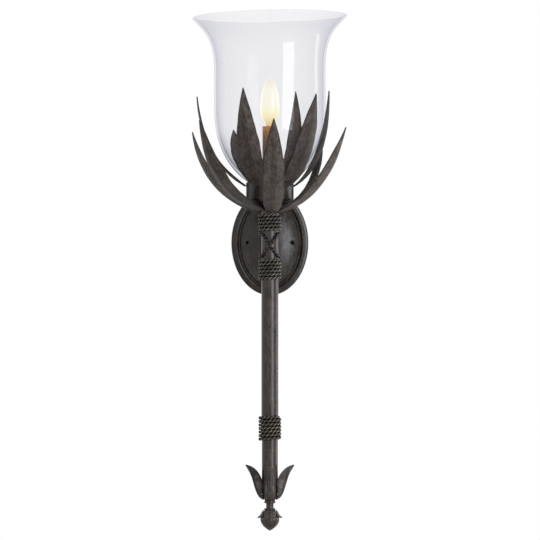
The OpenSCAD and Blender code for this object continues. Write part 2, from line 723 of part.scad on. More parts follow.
bud_wide = 0.44 * bud_len;
bud_upper = [[8.2, 0], [9.9, -2.5], [bud_r - 0.2, -9], [bud_r, -bud_wide]];
bud_lower = [[bud_r, -bud_wide], [bud_r, -bud_wide - 6.1], [bud_r * 0.68, -bud_len * 0.84], [0.6, -bud_len]];
module finial_bud() {
    outline = concat([[0, 0]], curve_points(bud_upper, 0, 1, 6), curve_points(bud_lower, 0.1, 1, 9),
        [[0, -bud_len]]);
    color(iron)
        at_torch() translate([0, 0, bud_top]) difference() {
            rotate_extrude() polygon(outline);
            translate([0, 0, -9]) cylinder(d = stud_d + 2 * fit_gap, h = 10);
        }
}

// Four petals that lie over the bud's shoulder, with their tips turned outwards
module bud_petals() {
    path = [[collar_r + 1, bud_top + 0.2], [11.6, bud_top - 1.4], [bud_r - 0.8, bud_top - 9.5],
        [bud_r + 4.4, bud_top - 10.8]];
    color(iron_light)
        for (azimuth = [0:90:270])
            leaf(azimuth, path, 18, 0.55, [-0.05, -0.26], 0, 1.6);
}

backplate();
arm_tube();
arm_bushing();
arm_nipple();
arm_washer();
arm_lock_nut();
ground_screw();
stem_tube();
stem_plug();
stem_tail();
wrap_upper();
wrap_middle();
wrap_lower();
cross_lashing();
cup();
cup_washer();
cup_lock_nut();
pipe_nipple();
leaf_upper_front_left();
leaf_upper_front_right();
leaf_upper_right();
leaf_upper_rear_right();
leaf_upper_rear_left();
leaf_upper_left();
leaf_lower_front();
leaf_lower_front_right();
leaf_lower_right();
leaf_lower_rear();
leaf_lower_left();
leaf_lower_front_left();
glass_shade();
candle_sleeve();
socket_bracket();
socket_body();
socket_shell();
socket_contact();
socket_rivet();
bulb_glass();
bulb_base();
bulb_contact();
bulb_filament();
lead_live();
lead_neutral();
finial_leaf_front();
finial_leaf_right();
finial_leaf_back();
finial_leaf_left();
finial_stud();
finial_collar();
finial_neck();
finial_bud();
bud_petals();
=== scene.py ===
# Torch wall sconce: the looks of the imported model. Metres, row frame: +Z up, the wall at y = 0,
# the front faces -Y. Shapes are worked out in millimetres and scaled once, in `piece`.
import json
import math
import random

import bmesh
import bpy
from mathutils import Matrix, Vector

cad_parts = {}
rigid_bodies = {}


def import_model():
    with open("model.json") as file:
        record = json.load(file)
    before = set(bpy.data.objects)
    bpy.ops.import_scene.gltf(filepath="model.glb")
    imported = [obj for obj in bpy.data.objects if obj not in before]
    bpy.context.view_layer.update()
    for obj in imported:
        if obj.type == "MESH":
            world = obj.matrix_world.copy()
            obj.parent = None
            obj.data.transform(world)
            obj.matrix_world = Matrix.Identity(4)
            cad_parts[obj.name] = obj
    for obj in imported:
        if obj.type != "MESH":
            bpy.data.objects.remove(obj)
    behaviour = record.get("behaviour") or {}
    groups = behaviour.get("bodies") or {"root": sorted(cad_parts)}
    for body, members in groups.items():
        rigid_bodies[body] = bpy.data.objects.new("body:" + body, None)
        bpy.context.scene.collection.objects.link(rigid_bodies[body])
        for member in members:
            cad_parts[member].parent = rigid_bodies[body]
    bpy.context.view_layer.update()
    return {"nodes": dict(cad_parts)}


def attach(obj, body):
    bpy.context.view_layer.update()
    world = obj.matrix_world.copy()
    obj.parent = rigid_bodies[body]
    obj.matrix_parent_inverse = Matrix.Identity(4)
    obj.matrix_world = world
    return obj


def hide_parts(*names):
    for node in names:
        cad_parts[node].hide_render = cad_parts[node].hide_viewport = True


for old in list(bpy.data.objects):
    bpy.data.objects.remove(old)
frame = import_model()
nodes = frame["nodes"]
scene = bpy.context.scene

MM = 0.001
TURN = 2 * math.pi

# ---- the CAD's own sizes, in millimetres ----

AXIS_Y = -140.0                 # the torch's axis, in front of the wall
SEAT_GAP = 0.25                 # between pieces that only lie against each other
STEM_R, STEM_BOTTOM, STEM_NECK = 12.7, -290.0, 3
TAIL_END = -387.3
ARM_R, ARM_ROOM = 9.5, 0.9      # the room is between the arm and the lashing
ROPE_D, PITCH = 4.4, 5.3
WRAP_START, WRAP_END = -90, 45  # degrees from the front
UPPER_TURNS, MIDDLE_TURNS, LOWER_TURNS = 5, 6, 7
LASH_GAP, LASHING_GAP = 0.6, 42.2
LOWER_WRAP_RISE = 27.5
LASH_HIGH = ARM_R + ARM_ROOM + ROPE_D / 2
UPPER_LOW = LASH_HIGH + ROPE_D + LASH_GAP - PITCH * WRAP_START / 360
MIDDLE_HIGH = UPPER_LOW - ROPE_D - LASHING_GAP
LOWER_HIGH = STEM_BOTTOM + LOWER_WRAP_RISE
LASH_LOW = MIDDLE_HIGH + PITCH * WRAP_END / 360 + ROPE_D + LASH_GAP
WRAP_R = STEM_R + ROPE_D / 2 + SEAT_GAP
STEM_TOP = UPPER_LOW + (UPPER_TURNS - 1) * PITCH + PITCH * WRAP_END / 360 + ROPE_D / 2 + STEM_NECK
CUP_R, CUP_WALL, CUP_H = 35.7, 2.5, 43.5
CUP_TOP = STEM_TOP + CUP_H
CUP_FLOOR = STEM_TOP + 18
SLEEVE_LEN = 109
SLEEVE_TOP = CUP_FLOOR + 0.3 + SLEEVE_LEN
BULB_H = 72                     # above the sleeve
GLASS_FIT, GLASS_H, GLASS_WALL, FOOT_WALL = 0.6, 247.1, 3.0, 5.5
GLASS_TOP = CUP_TOP + GLASS_H
SEAT_R, BODY_R, RIM_R = CUP_R - CUP_WALL - GLASS_FIT, 83.8, 116.6
LEAF_THICK = 2.0
BUD_R, BUD_LEN = 14.2, 30.5
BUD_WIDE = 0.44 * BUD_LEN       # depth of the bud's widest place
BUD_TOP = TAIL_END - 1.5 - 3 - 7.5 - 3 - 0.05
PLATE_A, PLATE_B, PLATE_RISE, PLATE_WALL = 59.5, 81.0, 12.8, 3.0
PAD_R = 11.0                    # the flat round pad in the plate's middle
SCREW_X, SCREW_R, SINK_R, ARM_HOLE_R = 35, 2.5, 6.0, 6.4


# ---- curves ----

def bezier(p, t):
    u = 1 - t
    return [u ** 3 * p[0][k] + 3 * u * u * t * p[1][k] + 3 * u * t * t * p[2][k] + t ** 3 * p[3][k]
            for k in (0, 1)]


def bezier_dir(p, t):
    u = 1 - t
    d = [u * u * (p[1][k] - p[0][k]) + 2 * u * t * (p[2][k] - p[1][k]) + t * t * (p[3][k] - p[2][k])
         for k in (0, 1)]
    n = math.hypot(*d)
    return [d[0] / n, d[1] / n]


def curve_points(p, a, b, steps):
    return [bezier(p, a + (b - a) * i / steps) for i in range(steps + 1)]


def curve_inner(p, wall, a, b, steps, extra=0.0):
    """Points inside a curve by a wall that grows by `extra` towards the curve's start."""
    out = []
    for i in range(steps + 1):
        t = a + (b - a) * i / steps
        c, d = bezier(p, t), bezier_dir(p, t)
        w = wall + extra * (1 - t) ** 2
        out.append([c[0] - d[1] * w, c[1] + d[0] * w])
    return out


def smooth(t):
    t = min(1.0, max(0.0, t))
    return t * t * (3 - 2 * t)


def polar(r, az, z, across=0.0):
    """A point at radius r from the torch's axis, `across` to the right of its azimuth."""
    return (r * math.sin(az) + across * math.cos(az),
            AXIS_Y - r * math.cos(az) + across * math.sin(az), z)


# ---- pieces ----

def link(name, data):
    obj = bpy.data.objects.new(name, data)
    scene.collection.objects.link(obj)
    return obj


def piece(name, verts, faces, body, slot, material, replaces, uvs=None, angle=50):
    """A visible piece that rides on a body; edges sharper than `angle` degrees stay sharp."""
    mesh = bpy.data.meshes.new(name)
    mesh.from_pydata([(x * MM, y * MM, z * MM) for x, y, z in verts], [], faces)
    mesh.validate()
    if uvs:
        layer = mesh.uv_layers.new(name="UVMap")
        for loop in mesh.loops:
            layer.data[loop.index].uv = uvs[loop.vertex_index]
    bm = bmesh.new()
    bm.from_mesh(mesh)
    bmesh.ops.recalc_face_normals(bm, faces=bm.faces)
    for f in bm.faces:
        f.smooth = True
    for e in bm.edges:
        if len(e.link_faces) == 2 and e.calc_face_angle(0) > math.radians(angle):
            e.smooth = False
    bm.to_mesh(mesh)
    bm.free()
    obj = link(name, mesh)
    mesh.materials.append(material)
    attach(obj, body)
    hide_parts(replaces)
    return obj


def revolve(profile, segments, shape=None, closed=True):
    """A profile of [r, z] turned about the torch's axis. An open profile gets a cap at each end."""
    verts, faces = [], []
    n = len(profile)
    for i in range(segments):
        az = TURN * i / segments
        for r, z in profile:
            if shape:
                r, z = shape(r, z, az)
            verts.append(polar(r, az, z))
    for i in range(segments):
        j = (i + 1) % segments
        for k in range(n if closed else n - 1):
            m = (k + 1) % n
            faces.append((i * n + k, j * n + k, j * n + m, i * n + m))
    if not closed:
        faces.append(tuple(i * n for i in range(segments)))
        faces.append(tuple(i * n + n - 1 for i in reversed(range(segments))))
    return verts, faces


def tube(points, sides_v, radii, sides):
    """A capped tube through points, with a radius for each point."""
    verts, faces = [], []
    n = len(points)
    for i, p in enumerate(points):
        t = (points[min(n - 1, i + 1)] - points[max(0, i - 1)]).normalized()
        u = (sides_v[i] - sides_v[i].dot(t) * t).normalized()
        v = t.cross(u)
        for k in range(sides):
            a = TURN * k / sides
            verts.append(tuple(p + radii[i] * (math.cos(a) * u + math.sin(a) * v)))
    for i in range(n - 1):
        for k in range(sides):
            m = (k + 1) % sides
            faces.append((i * sides + k, i * sides + m, (i + 1) * sides + m, (i + 1) * sides + k))
    faces.append(tuple(reversed(range(sides))))
    faces.append(tuple((n - 1) * sides + k for k in range(sides)))
    return verts, faces


def shell_faces(rows, cells):
    """Faces of a closed blade whose two sides are grids of the same size, one after the other."""
    row = cells + 1
    back = (rows + 1) * row
    faces = []
    for i in range(rows):
        for j in range(cells):
            a = i * row + j
            faces.append((a, a + row, a + row + 1, a + 1))
            faces.append((back + a, back + a + 1, back + a + row + 1, back + a + row))
        a, b = i * row, i * row + cells
        faces.append((a, back + a, back + a + row, a + row))
        faces.append((b, b + row, back + b + row, back + b))
    for j in range(cells):
        b = rows * row + j
        faces.append((j, j + 1, back + j + 1, back + j))
        faces.append((b, back + b, back + b + 1, b + 1))
    return faces


def join(parts):
    verts, faces = [], []
    for v, f in parts:
        base = len(verts)
        verts += v
        faces += [tuple(base + i for i in face) for face in f]
    return verts, faces


# ---- node materials ----

class Nodes:
    """A short way to build a node tree: each call adds a node and links what it is given."""

    def __init__(self, data, output="ShaderNodeOutputMaterial"):
        self.data = data
        data.use_nodes = True
        self.tree = data.node_tree
        self.tree.nodes.clear()
        self.out = self.tree.nodes.new(output)

    def add(self, kind, props=None, **inputs):
        node = self.tree.nodes.new(kind)
        for k, v in (props or {}).items():
            setattr(node, k, v)
        for k, v in inputs.items():
            self.put(node, k, v)
        return node

    def put(self, node, key, value):
        """Key i0 is the first input; any other key is an input's name with _ for each space."""
        numbered = key[0] == "i" and key[1:].isdigit()
        sock = node.inputs[int(key[1:])] if numbered else node.inputs[key.replace("_", " ")]
        if isinstance(value, bpy.types.NodeSocket):
            self.tree.links.new(value, sock)
        else:
            sock.default_value = value

    def coords(self, scale=(1, 1, 1)):
        tc = self.add("ShaderNodeTexCoord")
        return self.add("ShaderNodeMapping", Vector=tc.outputs["Object"], Scale=scale).outputs[0]

    def axis(self, index):
        return self.add("ShaderNodeSeparateXYZ", Vector=self.coords()).outputs[index]

    def noise(self, vec, scale, detail=3.0, rough=0.55, distort=0.0):
        return self.add("ShaderNodeTexNoise", Vector=vec, Scale=scale, Detail=detail,
                        Roughness=rough, Distortion=distort).outputs[0]

    def math(self, op, a, b=0.0, clamp=False):
        return self.add("ShaderNodeMath", {"operation": op, "use_clamp": clamp}, i0=a, i1=b).outputs[0]

    def ramp(self, fac, stops):
        n = self.add("ShaderNodeValToRGB", Fac=fac)
        e = n.color_ramp.elements
        while len(e) < len(stops):
            e.new(0.5)
        for el, (pos, col) in zip(e, stops):
            el.position = pos
            el.color = (*col, 1)
        return n.outputs[0]

    def remap(self, value, a, b, c, d):
        """The value's range a to b laid on c to d, and held at both ends."""
        n = self.add("ShaderNodeMapRange", Value=value)
        for key, v in (("From Min", a), ("From Max", b), ("To Min", c), ("To Max", d)):
            n.inputs[key].default_value = v
        return n.outputs[0]

    def mix(self, fac, a, b):
        n = self.add("ShaderNodeMix", {"data_type": "RGBA"})
        self.put(n, "i0", fac)
        for key, color in (("i6", a), ("i7", b)):
            self.put(n, key, color if isinstance(color, bpy.types.NodeSocket) else (*color, 1))
        return n.outputs[2]

    def bump(self, height, strength, distance):
        return self.add("ShaderNodeBump", Height=height, Strength=strength,
                        Distance=distance).outputs[0]

    def surface(self, shader):
        self.tree.links.new(shader.outputs[0], self.out.inputs[0])

    def done(self, **inputs):
        self.surface(self.add("ShaderNodeBsdfPrincipled", **inputs))
        self.data.diffuse_color = (0.3, 0.3, 0.3, 1)
        return self.data


def new_material(name):
    return Nodes(bpy.data.materials.new(name))


def times(color, k):
    return tuple(min(1, c * k) for c in color)


def iron(name, dark, mid, light, streak, rough, hammer, gloss, patch=45.0, speck=520.0,
         veins=0, vein_gap=2.3, vein_w=0.95, strands=False):
    """Waxed forged iron: mottled brown-grey, fine streaks along Z, hammer marks and worn patches.

    With veins it is a leaf, with grooves along it, dark edges and painted shading of the whole
    leaf. With strands it is wire rope, with painted shade, near black, between its strands.
    """
    n = new_material(name)
    along = n.coords((1, 1, streak))
    grain = n.noise(along, speck, 4.0, 0.65)
    fleck = n.noise(along, speck * 0.45, 3.0, 0.55)
    patches = n.noise(n.coords(), patch, 3.0, 0.5, 0.4)
    tone = n.math("ADD", n.math("MULTIPLY", grain, 0.44),
                  n.math("ADD", n.math("MULTIPLY", fleck, 0.30), n.math("MULTIPLY", patches, 0.26)))
    color = n.ramp(tone, [(0.40, dark), (0.5, mid), (0.61, light)])
    dents = n.add("ShaderNodeTexVoronoi", {"feature": "SMOOTH_F1"}, Vector=n.coords((1, 1, 0.7)),
                  Scale=170.0, Smoothness=0.7)
    height = n.math("ADD", n.math("MULTIPLY", dents.outputs[0], 0.5), n.math("MULTIPLY", grain, 0.16))
    height = n.math("ADD", height, n.math("MULTIPLY", patches, 0.3))
    roughness = n.remap(fleck, 0.3, 0.7, *rough)
    if veins or strands:
        # On a leaf, u runs across it in millimetres and v along it from 0 to 1; on wire, u is high
        # on the outside of each strand
        uv = n.add("ShaderNodeTexCoord").outputs["UV"]
        u, v = n.add("ShaderNodeSeparateXYZ", Vector=uv).outputs[:2]
    if veins:
        lines = None
        for at in (-vein_gap, 0.0, vein_gap):
            line = n.remap(n.math("ABSOLUTE", n.math("SUBTRACT", u, at)), 0.15, vein_w, 1.0, 0.0)
            lines = line if lines is None else n.math("MAXIMUM", lines, line)
        lines = n.math("MULTIPLY", lines, n.remap(v, 0.72, 0.95, 1.0, 0.0))
        height = n.math("SUBTRACT", height, n.math("MULTIPLY", lines, 0.5 * veins))
        color = n.mix(n.math("MULTIPLY", lines, 0.4 * veins), color, dark)
        rim = n.add("ShaderNodeAttribute", {"attribute_name": "rim"}).outputs["Fac"]
        color = n.mix(n.remap(rim, 0.2, 1.9, 0.8, 0.0), color, times(dark, 0.35))
        # Painted shading: the leaf's colour is scaled by its own factor, darker below 1 and lighter above 1
        painted_leaf_shading = n.add("ShaderNodeAttribute", {"attribute_name": "painted_leaf_shading"}).outputs["Fac"]
        color = n.add("ShaderNodeVectorMath", {"operation": "SCALE"}, Vector=color,
                      Scale=painted_leaf_shading).outputs[0]
    if strands:
        # Painted shade: where u is low, in the crevices between the strands and on their inner side, the
        # colour goes to near black
        painted_crevice_shade = n.remap(u, 0.52, 0.86, 1.0, 0.0)
        color = n.mix(painted_crevice_shade, color, (0.002, 0.0018, 0.0016))
        roughness = n.math("MAXIMUM", roughness, n.math("MULTIPLY", painted_crevice_shade, 0.95))
    return n.done(Base_Color=color, Roughness=roughness, Metallic=0.0, Specular_IOR_Level=gloss,
                  Normal=n.bump(height, hammer, 0.0012))


def metal(name, color, rough):
    """Drawn or turned metal with a fine grain along Z."""
    n = new_material(name)
    grain = n.noise(n.coords((1, 1, 0.3)), 500.0)
    tone = n.mix(n.remap(grain, 0.3, 0.7, 0.0, 1.0), times(color, 0.82), times(color, 1.1))
    return n.done(Base_Color=tone, Metallic=1.0, Normal=n.bump(grain, 0.08, 0.0004),
                  Roughness=n.remap(grain, 0.3, 0.7, rough - 0.06, rough + 0.08))


def plain(name, color, rough):
    """Paint or moulded plastic with a slight mottle."""
    n = new_material(name)
    grain = n.noise(n.coords(), 700.0)
    tone = n.mix(n.remap(grain, 0.35, 0.65, 0.0, 1.0), times(color, 0.85), times(color, 1.12))
    return n.done(Base_Color=tone, Roughness=n.remap(grain, 0.3, 0.7, rough - 0.05, rough + 0.08),
                  Normal=n.bump(grain, 0.1, 0.0003))


IRON = iron(
    "wrought_iron_look", (0.013, 0.0088, 0.0064), (0.033, 0.0235, 0.0180), (0.066, 0.050, 0.040),
    streak=0.2, rough=(0.2, 0.36), hammer=0.22, gloss=0.38)
PLATE_IRON = iron(
    "plate_iron_look", (0.007, 0.005, 0.0037), (0.0185, 0.0130, 0.0093), (0.040, 0.029, 0.022),
    streak=0.6, rough=(0.24, 0.38), hammer=0.3, gloss=0.4, patch=60.0)
CUP_IRON = iron(
    "cup_iron_look", (0.008, 0.006, 0.0045), (0.020, 0.0150, 0.0115), (0.042, 0.033, 0.0265),
    streak=0.3, rough=(0.3, 0.44), hammer=0.25, gloss=0.42)
LEAF_IRON = iron(
    "leaf_iron_look", (0.028, 0.0210, 0.0168), (0.070, 0.0565, 0.0475), (0.128, 0.105, 0.090),
    streak=0.25, rough=(0.4, 0.6), hammer=0.34, gloss=0.22, patch=55.0, speck=640.0, veins=1.5)
FINIAL_IRON = iron(
    "finial_leaf_look", (0.013, 0.010, 0.008), (0.056, 0.045, 0.0375), (0.142, 0.118, 0.101),
    streak=0.25, rough=(0.34, 0.52), hammer=0.35, gloss=0.32, patch=80.0,
    veins=2.3, vein_gap=3.0, vein_w=1.5)
WIRE_IRON = iron(
    "wire_iron_look", (0.022, 0.017, 0.011), (0.094, 0.077, 0.050), (0.256, 0.220, 0.152),
    streak=1.0, rough=(0.28, 0.44), hammer=0.12, gloss=0.4, strands=True)
# The lashing is the same wire as the wraps in darker colours: painted shade
SHADED_LASH_IRON = iron(
    "lashing_painted_shade_look", (0.012, 0.009, 0.007), (0.034, 0.026, 0.020), (0.085, 0.069, 0.056),
    streak=1.0, rough=(0.28, 0.44), hammer=0.12, gloss=0.35, strands=True)
PETAL_IRON = iron(
    "petal_look", (0.010, 0.0075, 0.006), (0.036, 0.028, 0.023), (0.095, 0.077, 0.066),
    streak=0.5, rough=(0.3, 0.48), hammer=0.25, gloss=0.32)
STEEL = metal("steel_look", (0.55, 0.55, 0.56), 0.3)
BRASS = metal("brass_look", (0.72, 0.53, 0.2), 0.26)
GREEN = plain("green_screw_look", (0.05, 0.24, 0.08), 0.4)
PHENOLIC = plain("phenolic_look", (0.03, 0.028, 0.026), 0.38)
BLACK_WIRE = plain("black_wire_look", (0.02, 0.02, 0.02), 0.45)
WHITE_WIRE = plain("white_wire_look", (0.78, 0.77, 0.74), 0.45)
FILAMENT = plain("filament_look", (0.9, 0.75, 0.45), 0.4)


def sleeve_material():
    """Amber-brown candle sleeve with fine turned rings, glowing where the bulb lights its top."""
    ring_pitch, glow_from = 0.0021, 0.132
    n = new_material("candle_sleeve_look")
    z = n.axis(2)
    wobble = n.math("MULTIPLY", n.noise(n.coords(), 120.0), 0.0006)
    rings = n.math("SINE", n.math("MULTIPLY", n.math("ADD", z, wobble), TURN / ring_pitch))
    mottle = n.noise(n.coords((1, 1, 3.0)), 260.0)
    color = n.ramp(n.math("ADD", n.math("MULTIPLY", rings, 0.16), mottle),
                   [(0.32, (0.085, 0.044, 0.016)), (0.5, (0.19, 0.103, 0.036)),
                    (0.68, (0.32, 0.19, 0.078))])
    glow = n.math("POWER", n.remap(z, glow_from, SLEEVE_TOP * MM, 0.0, 1.0), 2.5)
    glow = n.math("MULTIPLY", glow, n.remap(rings, -1, 1, 0.75, 1.0))
    return n.done(Base_Color=color, Roughness=0.5, Emission_Color=(1.0, 0.40, 0.08, 1),
                  Emission_Strength=n.math("MULTIPLY", glow, 0.34), Normal=n.bump(rings, 0.5, 0.0005))


def glass_material():
    """Clear blown glass: its grey cast deepens and turns blue where the wall turns away."""
    n = new_material("clear_glass_look")
    facing = n.add("ShaderNodeLayerWeight", Blend=0.5).outputs["Facing"]
    cloud = n.noise(n.coords((1, 1, 0.4)), 9.0, 2.0)
    edge = n.math("MULTIPLY", n.math("POWER", facing, 2.2), n.remap(cloud, 0.3, 0.7, 0.85, 1.15),
                  clamp=True)
    color = n.mix(edge, (0.955, 0.955, 0.961), (0.82, 0.823, 0.857))
    # Low on the bowl the grazing edges are painted dark grey: a painted refraction of the dark leaves and
    # cup behind
    low = n.remap(n.axis(2), (CUP_TOP + 80) * MM, (CUP_TOP + 20) * MM, 0.0, 1.0)
    color = n.mix(n.math("MULTIPLY", n.math("POWER", facing, 3.5), low), color, (0.30, 0.30, 0.33))
    clear = n.add("ShaderNodeBsdfTransparent", Color=color)
    normal = n.bump(n.noise(n.coords((1, 1, 0.35)), 22.0, 1.0), 0.12, 0.002)
    gloss = n.add("ShaderNodeBsdfGlossy", Color=(1, 1, 1, 1), Roughness=0.02, Normal=normal)
    # The rear half of the glass shines less than the front half
    front = n.remap(n.axis(1), AXIS_Y * MM - 0.02, AXIS_Y * MM + 0.02, 1.0, 0.35)
    share = n.math("ADD", 0.014, n.math("MULTIPLY", n.math("POWER", facing, 4.0), 0.09))
    n.surface(n.add("ShaderNodeMixShader", Fac=n.math("MULTIPLY", share, front), i1=clear.outputs[0],
                    i2=gloss.outputs[0]))
    n.data.diffuse_color = (0.9, 0.9, 0.93, 0.3)
    return n.data


def bulb_material():
    """Lit candle bulb: creamy white with a yellower foot."""
    n = new_material("lit_bulb_look")
    up = n.remap(n.axis(2), SLEEVE_TOP * MM, (SLEEVE_TOP + BULB_H) * MM, 0.0, 1.0)
    color = n.ramp(up, [(0.0, (0.80, 0.55, 0.27)), (0.2, (1.0, 0.93, 0.56)),
                        (0.42, (1.0, 0.96, 0.80)), (0.76, (1.0, 0.96, 0.82)),
                        (0.92, (0.93, 0.86, 0.75)), (1.0, (0.90, 0.82, 0.72))])
    return n.done(Base_Color=(0.05, 0.045, 0.03, 1), Roughness=0.25, Emission_Color=color,
                  Emission_Strength=0.97)


SLEEVE = sleeve_material()
GLASS = glass_material()
BULB = bulb_material()

look = {
    "stem_tube": IRON, "stem_tail": IRON, "arm_tube": IRON, "finial_collar": IRON,
    "finial_neck": IRON, "finial_bud": IRON, "cup": CUP_IRON, "backplate": PLATE_IRON,
    "arm_bushing": STEEL, "arm_nipple": STEEL, "arm_washer": STEEL, "stem_plug": STEEL,
    "cup_washer": STEEL, "pipe_nipple": STEEL, "socket_bracket": STEEL, "socket_rivet": STEEL,
    "bulb_contact": STEEL, "finial_stud": STEEL, "arm_lock_nut": BRASS, "cup_lock_nut": BRASS,
    "socket_shell": BRASS, "socket_contact": BRASS, "bulb_base": BRASS, "ground_screw": GREEN,
    "socket_body": PHENOLIC, "candle_sleeve": SLEEVE, "glass_shade": GLASS, "bulb_glass": BULB,
    "bulb_filament": FILAMENT, "lead_live": BLACK_WIRE, "lead_neutral": WHITE_WIRE,
}
for name, obj in nodes.items():
    for s in obj.material_slots:
        s.material = look.get(name, LEAF_IRON)


# ---- leaves: the CAD's own curves with a finer mesh, a ridge along the middle and uneven edges ----

# Painted shading differs from leaf to leaf: each leaf's colour is scaled, below 1 as painted shade and
# above 1 as painted light
PAINTED_LEAF_SHADING = {
    "leaf_lower_right": 0.55, "leaf_upper_right": 0.55, "leaf_upper_front_right": 0.72,
    "leaf_lower_left": 0.72, "leaf_upper_left": 0.85, "leaf_lower_front_right": 1.15,
    "leaf_upper_front_left": 1.15,
}
TAPER_FROM = 0.55               # share of a leaf's length at which it starts to narrow
RIB_W = 2.2                     # the ridge's half width
EDGE_WAVE = 0.022               # unevenness of a leaf's edges, as a share of its half width


def leaf_width(t, root, rise=0.3):
    """Share of the full width at t: from `root` up to 1 at t = rise, then down to a point."""
    w = root + (1 - root) * math.sin(math.radians(90 * min(1, t / rise)))
    return w * (1 if t < TAPER_FROM else 1 - 0.97 * ((t - TAPER_FROM) / (1 - TAPER_FROM)) ** 2)


def blade_point(c, d, off, across, az):
    """A point off a blade's middle line, which passes c in direction d, and across to the right."""
    return polar(c[0] + d[1] * off, az, c[1] - d[0] * off, across)


def leaf(name, azimuth, path, width, root, curl, rise=0.3, shift=0.0, thick=LEAF_THICK, seed=0,
         rows=56, cells=14, wave=0.5, rib_h=0.35, material=LEAF_IRON):
    """A forged leaf along a curve of [radius, height]; curl bends its edges, at the root and above."""
    rnd = random.Random(seed)
    ph = [rnd.uniform(0, 6.3) for _ in range(4)]
    az = math.radians(azimuth)
    verts, uvs, rims = [], [], []
    for side in (1, -1):
        for i in range(rows + 1):
            t = i / rows
            c, d = bezier(path, t), bezier_dir(path, t)
            w = width / 2 * leaf_width(t, root, rise)
            bend = curl[0] + (curl[1] - curl[0]) * smooth(t / TAPER_FROM)
            fade = min(1, t / 0.15) * min(1, (1 - t) / 0.08)
            for j in range(cells + 1):
                s = 2 * j / cells - 1
                right = s > 0
                rounded = 0.55 + 0.45 * math.sqrt(max(0, 1 - abs(s) ** 6))
                half = thick / 2 * (1 - 0.35 * s * s) * rounded
                rib = rib_h * math.exp(-(s * w / RIB_W) ** 2) * fade
                ripple = 0.45 * math.sin(9 * t + ph[0]) * s + 0.3 * math.sin(17 * t + 2.5 * s + ph[1])
                ripple *= wave * fade
                off = side * half - bend * s * s * w + ripple + (rib if side > 0 else rib * 0.4)
                uneven = math.sin(23 * t + ph[2] + (2 if right else 0))
                uneven += 0.6 * math.sin(51 * t + ph[3] * (1 if right else 2))
                across = s * w * (1 + EDGE_WAVE * fade * uneven) + shift
                verts.append(blade_point(c, d, off, across, az))
                uvs.append((s * w, t))
                rims.append((1 - abs(s)) * w)
    obj = piece(name + "_forged", verts, shell_faces(rows, cells), "sconce", "forged_leaf",
                material, name, uvs, angle=70)
    for key, values in (("rim", rims), ("painted_leaf_shading", [PAINTED_LEAF_SHADING.get(name, 1.0)] * len(verts))):
        obj.data.attributes.new(key, "FLOAT", "POINT").data.foreach_set("value", values)


def leaf_path(root, bends):
    return [root] + [[root[0] + b[0], root[1] + b[1]] for b in bends]


LOWER_ROOT = [STEM_R + SEAT_GAP, STEM_TOP - 1.6]
RAISED_ROOT = [LOWER_ROOT[0] + 0.8, LOWER_ROOT[1] + 3.5]
UPPER_ROOT = [CUP_R + SEAT_GAP + LEAF_THICK / 3, CUP_TOP - 6]
LOWER_CURL, UPPER_CURL, FINIAL_CURL = [0.2, 0.2], [0.16, 0.16], [0.3, 1.5]


def lower_leaf(name, azimuth, bends, width, seed, base=LOWER_ROOT, root=0.35, **more):
    leaf(name, azimuth, leaf_path(base, bends), width, root, LOWER_CURL, seed=seed, **more)


def upper_leaf(name, azimuth, bends, width, seed, root=0.5, **more):
    leaf(name, azimuth, leaf_path(UPPER_ROOT, bends), width, root, UPPER_CURL, seed=seed, wave=0.3,
         **more)


upper_leaf("leaf_upper_front_left", -25, [[23, 19], [51, 58], [57, 143]], 36, 1)
upper_leaf("leaf_upper_front_right", 44, [[23, 19], [47, 58], [62, 135]], 38, 2)
upper_leaf("leaf_upper_right", 104, [[29.5, 16.5], [54.5, 54], [55.2, 144.5]], 36, 3, root=0.25,
           rise=0.6)
upper_leaf("leaf_upper_rear_right", 153, [[29, 18], [61, 68], [50, 147]], 25, 4)
upper_leaf("leaf_upper_rear_left", -140, [[22, 18], [47, 54], [49.5, 88]], 30, 5, root=0.2, rise=0.7)
upper_leaf("leaf_upper_left", -90, [[38, 23], [67, 58], [72.5, 134.5]], 36, 6)
lower_leaf("leaf_lower_front", 0.9, [[60, 12], [112, 62], [127, 134.5]], 32.5, 7, root=0.54, rise=0.38,
           shift=3.6)
lower_leaf("leaf_lower_front_right", 66, [[47.5, 7.5], [87.5, 49], [110.5, 125.5]], 34, 8)
lower_leaf("leaf_lower_right", 112, [[48, 9], [67, 46], [72, 103]], 31, 9, RAISED_ROOT)
lower_leaf("leaf_lower_rear", 180, [[42, 12], [82, 48], [86, 104]], 34, 10)
lower_leaf("leaf_lower_left", -112, [[55, 8], [101, 54], [113.5, 122.5]], 34, 12)
lower_leaf("leaf_lower_front_left", -50, [[64, 9], [104, 58], [121, 131]], 31, 13, RAISED_ROOT,
           shift=-0.6)

finial_path = leaf_path([9.3, TAIL_END + 1], [[15.5, 8], [11, 35], [27, 52]])
for k, (side, azimuth) in enumerate((("front", 0), ("right", 90), ("back", 180), ("left", -90))):
    leaf("finial_leaf_" + side, azimuth, finial_path, 16, 0.62, FINIAL_CURL, thick=1.6, seed=20 + k,
         rows=48, cells=18, wave=0.15, rib_h=0.8, material=FINIAL_IRON)


# ---- finial bud and petals ----

def bud():
    """The bud, with eight flutes that deepen below its top."""
    upper = [[8.2, 0], [9.9, -2.5], [BUD_R - 0.2, -9], [BUD_R, -BUD_WIDE]]
    lower = [[BUD_R, -BUD_WIDE], [BUD_R, -BUD_WIDE - 6.1], [BUD_R * 0.68, -BUD_LEN * 0.84],
             [0.6, -BUD_LEN]]
    middle = 0.05               # radius of the small flats that close both ends
    profile = [[middle, 0.0]] + curve_points(upper, 0, 1, 14) + curve_points(lower, 0.06, 1, 24)
    profile += [[middle, -BUD_LEN]]

    def flute(r, z, az):
        depth = 0.075 * smooth(-(z + 6) / 8) * (1 - abs(math.cos(4 * az)) ** 0.7)
        return r * (1 - depth), BUD_TOP + z

    verts, faces = revolve(profile, 144, flute, closed=False)
    piece("finial_bud_fluted", verts, faces, "sconce", "wrought_iron", IRON, "finial_bud", angle=60)


